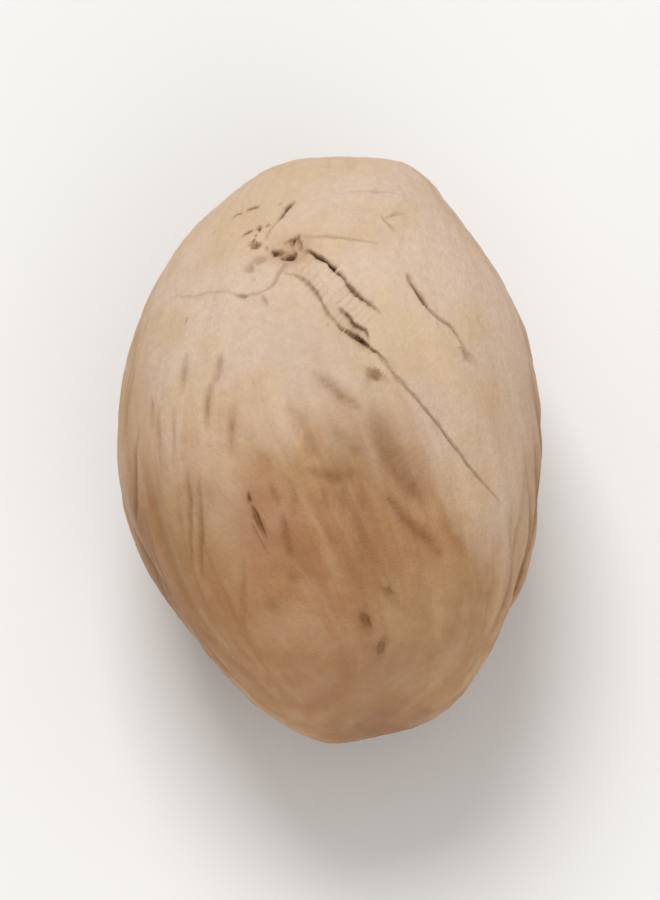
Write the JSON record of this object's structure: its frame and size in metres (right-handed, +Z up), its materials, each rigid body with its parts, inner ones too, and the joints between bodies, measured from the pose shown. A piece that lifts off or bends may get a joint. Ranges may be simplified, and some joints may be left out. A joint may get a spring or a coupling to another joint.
{
  "type": "whole nutmeg",
  "caption": "Whole dried nutmeg kernel lying on its side, egg-shaped and furrowed, with a hilum scar, for grating or for a spice display.",
  "frame": {"origin": "on the floor, under the middle of the kernel's box, level with the small flat that it rests on", "axes": "+Y along the kernel towards its broad end, +X to the right seen from the narrow end, +Z up through the side with the hilum scar"},
  "size_m": [0.0196, 0.029, 0.0188],
  "materials": {
    "nutmeg_skin": "dry matt seed skin, tan to brown, with a pale powdery bloom on its raised parts and dark cracks"
  },
  "bodies": {
    "root": {"nutmeg_kernel": "nutmeg_skin"}
  },
  "joints": []
}
